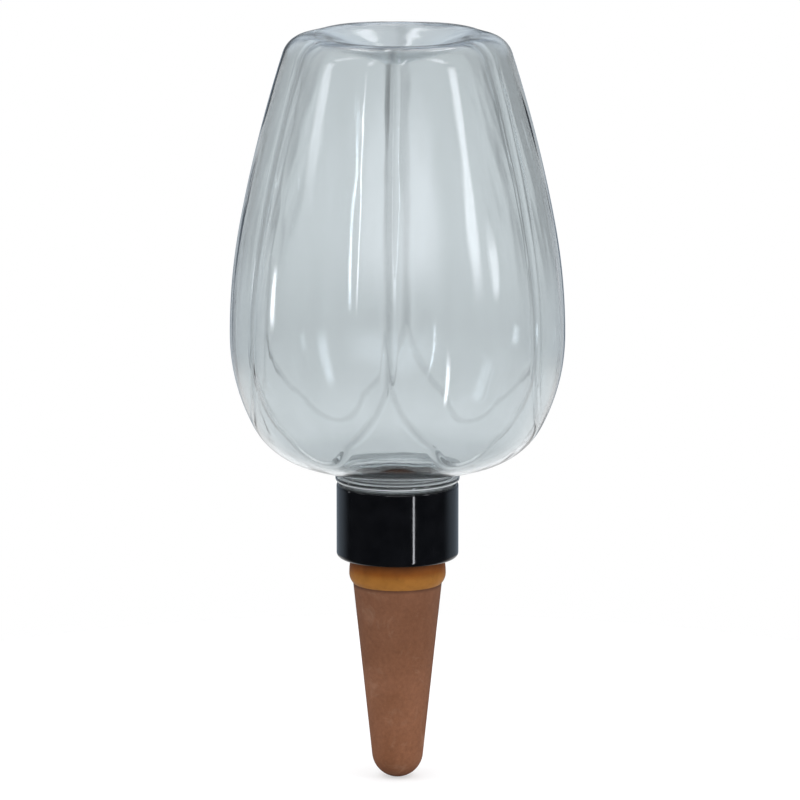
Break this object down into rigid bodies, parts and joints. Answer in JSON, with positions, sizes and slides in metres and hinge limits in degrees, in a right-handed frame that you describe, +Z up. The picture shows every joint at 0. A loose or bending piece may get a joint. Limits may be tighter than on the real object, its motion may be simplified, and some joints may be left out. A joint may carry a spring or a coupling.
{
  "type": "self watering spike",
  "caption": "Self watering spike: clear petal-shaped bottle upside down in a black screw collar, with a rubber-sealed terracotta cone that seeps water into potting soil",
  "frame": {"origin": "on the common axis, in the plane of the collar's underside, which is the soil line", "axes": "+Z up along the axis from the cone's tip to the bottle's base, -Y through a valley between two petals"},
  "size_m": [0.0888, 0.0864, 0.2001],
  "materials": {
    "clear_plastic": "clear glossy",
    "black_plastic": "glossy",
    "grey_rubber": "matte",
    "amber_rubber": "satin",
    "terracotta": "matte unglazed"
  },
  "bodies": {
    "cone": {"clay_cone": "terracotta", "seal_sleeve": "amber_rubber"},
    "collar": {"screw_collar": "black_plastic"},
    "gasket": {"neck_gasket": "grey_rubber"},
    "bottle": {"reservoir": "clear_plastic"}
  },
  "joints": [
    {"name": "collar_lift", "type": "slide", "parent": "cone", "child": "collar", "axis": [0, 0, 1], "range_m": [0, 0.012]},
    {"name": "bottle_turn", "type": "hinge", "parent": "collar", "child": "gasket", "pos_m": [0, 0, 0.007], "axis": [0, 0, 1], "range_deg": [0, 1080]},
    {"name": "bottle_rise", "type": "slide", "parent": "gasket", "child": "bottle", "axis": [0, 0, 1], "range_m": [0, 0.00955]}
  ],
  "couplings": [
    {"joint": "bottle_rise", "follows": "bottle_turn", "m_per_rad": 0.00050611}
  ]
}
